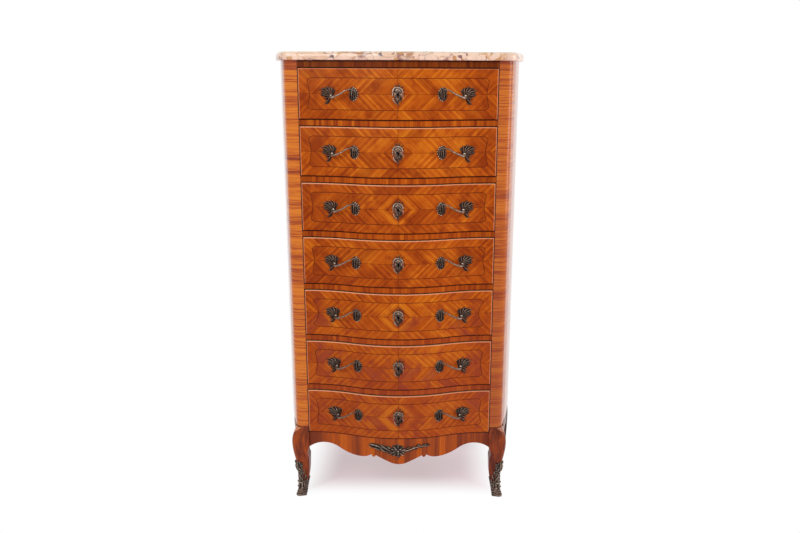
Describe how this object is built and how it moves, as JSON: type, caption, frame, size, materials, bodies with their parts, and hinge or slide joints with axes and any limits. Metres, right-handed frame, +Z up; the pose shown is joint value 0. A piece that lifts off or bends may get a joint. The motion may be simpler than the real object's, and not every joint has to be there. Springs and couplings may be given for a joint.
{
  "type": "tall chest of drawers",
  "caption": "Tall narrow serpentine-front chest of drawers with marquetry, cast bronze pulls, cabriole legs, a scalloped apron and a moulded marble top; the drawers slide and lock.",
  "frame": {"origin": "on the floor, under the middle of the rectangle that the whole chest covers", "axes": "+Z up, -Y out of the drawer fronts, +X to the right of someone facing the fronts"},
  "size_m": [0.801, 0.4185, 1.4375],
  "materials": {
    "drawer_marquetry": "french-polished kingwood and rosewood parquetry",
    "stile_veneer": "polished cross-grained rosewood veneer",
    "side_veneer": "polished rosewood veneer",
    "rail_veneer": "polished cross-banded veneer",
    "apron_veneer": "polished upright-grained veneer",
    "oak": "plain waxed oak",
    "marble": "polished variegated marble",
    "bronze": "aged chased bronze with worn gilding",
    "lock_iron": "filed iron"
  },
  "bodies": {
    "carcase": {"front_post_right": "stile_veneer", "front_post_left": "stile_veneer", "rear_post_right": "stile_veneer", "rear_post_left": "stile_veneer", "side_panel_right": "side_veneer", "side_panel_left": "side_veneer", "side_aprons": "side_veneer", "sabots": "bronze", "front_rails": "rail_veneer", "rear_rails": "oak", "drawer_runners": "oak", "drawer_stops": "oak", "front_apron": "apron_veneer", "apron_mount": "bronze", "back_panel": "oak", "top_board": "oak", "bottom_board": "oak", "marble_top": "marble"},
    "drawer_1": {"drawer_1_front": "drawer_marquetry", "drawer_1_box": "oak", "drawer_1_pulls": "bronze", "drawer_1_escutcheon": "bronze", "drawer_1_lock": "lock_iron"},
    "lock_bolt_1": {"drawer_1_bolt": "lock_iron"},
    "drawer_2": {"drawer_2_front": "drawer_marquetry", "drawer_2_box": "oak", "drawer_2_pulls": "bronze", "drawer_2_escutcheon": "bronze", "drawer_2_lock": "lock_iron"},
    "lock_bolt_2": {"drawer_2_bolt": "lock_iron"},
    "drawer_3": {"drawer_3_front": "drawer_marquetry", "drawer_3_box": "oak", "drawer_3_pulls": "bronze", "drawer_3_escutcheon": "bronze", "drawer_3_lock": "lock_iron"},
    "lock_bolt_3": {"drawer_3_bolt": "lock_iron"},
    "drawer_4": {"drawer_4_front": "drawer_marquetry", "drawer_4_box": "oak", "drawer_4_pulls": "bronze", "drawer_4_escutcheon": "bronze", "drawer_4_lock": "lock_iron"},
    "lock_bolt_4": {"drawer_4_bolt": "lock_iron"},
    "drawer_5": {"drawer_5_front": "drawer_marquetry", "drawer_5_box": "oak", "drawer_5_pulls": "bronze", "drawer_5_escutcheon": "bronze", "drawer_5_lock": "lock_iron"},
    "lock_bolt_5": {"drawer_5_bolt": "lock_iron"},
    "drawer_6": {"drawer_6_front": "drawer_marquetry", "drawer_6_box": "oak", "drawer_6_pulls": "bronze", "drawer_6_escutcheon": "bronze", "drawer_6_lock": "lock_iron"},
    "lock_bolt_6": {"drawer_6_bolt": "lock_iron"},
    "drawer_7": {"drawer_7_front": "drawer_marquetry", "drawer_7_box": "oak", "drawer_7_pulls": "bronze", "drawer_7_escutcheon": "bronze", "drawer_7_lock": "lock_iron"},
    "lock_bolt_7": {"drawer_7_bolt": "lock_iron"}
  },
  "joints": [
    {"name": "drawer_1_slide", "type": "slide", "parent": "carcase", "child": "drawer_1", "axis": [0, -1, 0], "range_m": [0, 0.26]},
    {"name": "lock_bolt_1_throw", "type": "slide", "parent": "drawer_1", "child": "lock_bolt_1", "axis": [0, 0, 1], "range_m": [0, 0.008]},
    {"name": "drawer_2_slide", "type": "slide", "parent": "carcase", "child": "drawer_2", "axis": [0, -1, 0], "range_m": [0, 0.26]},
    {"name": "lock_bolt_2_throw", "type": "slide", "parent": "drawer_2", "child": "lock_bolt_2", "axis": [0, 0, 1], "range_m": [0, 0.008]},
    {"name": "drawer_3_slide", "type": "slide", "parent": "carcase", "child": "drawer_3", "axis": [0, -1, 0], "range_m": [0, 0.26]},
    {"name": "lock_bolt_3_throw", "type": "slide", "parent": "drawer_3", "child": "lock_bolt_3", "axis": [0, 0, 1], "range_m": [0, 0.008]},
    {"name": "drawer_4_slide", "type": "slide", "parent": "carcase", "child": "drawer_4", "axis": [0, -1, 0], "range_m": [0, 0.26]},
    {"name": "lock_bolt_4_throw", "type": "slide", "parent": "drawer_4", "child": "lock_bolt_4", "axis": [0, 0, 1], "range_m": [0, 0.008]},
    {"name": "drawer_5_slide", "type": "slide", "parent": "carcase", "child": "drawer_5", "axis": [0, -1, 0], "range_m": [0, 0.26]},
    {"name": "lock_bolt_5_throw", "type": "slide", "parent": "drawer_5", "child": "lock_bolt_5", "axis": [0, 0, 1], "range_m": [0, 0.008]},
    {"name": "drawer_6_slide", "type": "slide", "parent": "carcase", "child": "drawer_6", "axis": [0, -1, 0], "range_m": [0, 0.26]},
    {"name": "lock_bolt_6_throw", "type": "slide", "parent": "drawer_6", "child": "lock_bolt_6", "axis": [0, 0, 1], "range_m": [0, 0.008]},
    {"name": "drawer_7_slide", "type": "slide", "parent": "carcase", "child": "drawer_7", "axis": [0, -1, 0], "range_m": [0, 0.26]},
    {"name": "lock_bolt_7_throw", "type": "slide", "parent": "drawer_7", "child": "lock_bolt_7", "axis": [0, 0, 1], "range_m": [0, 0.008]}
  ]
}
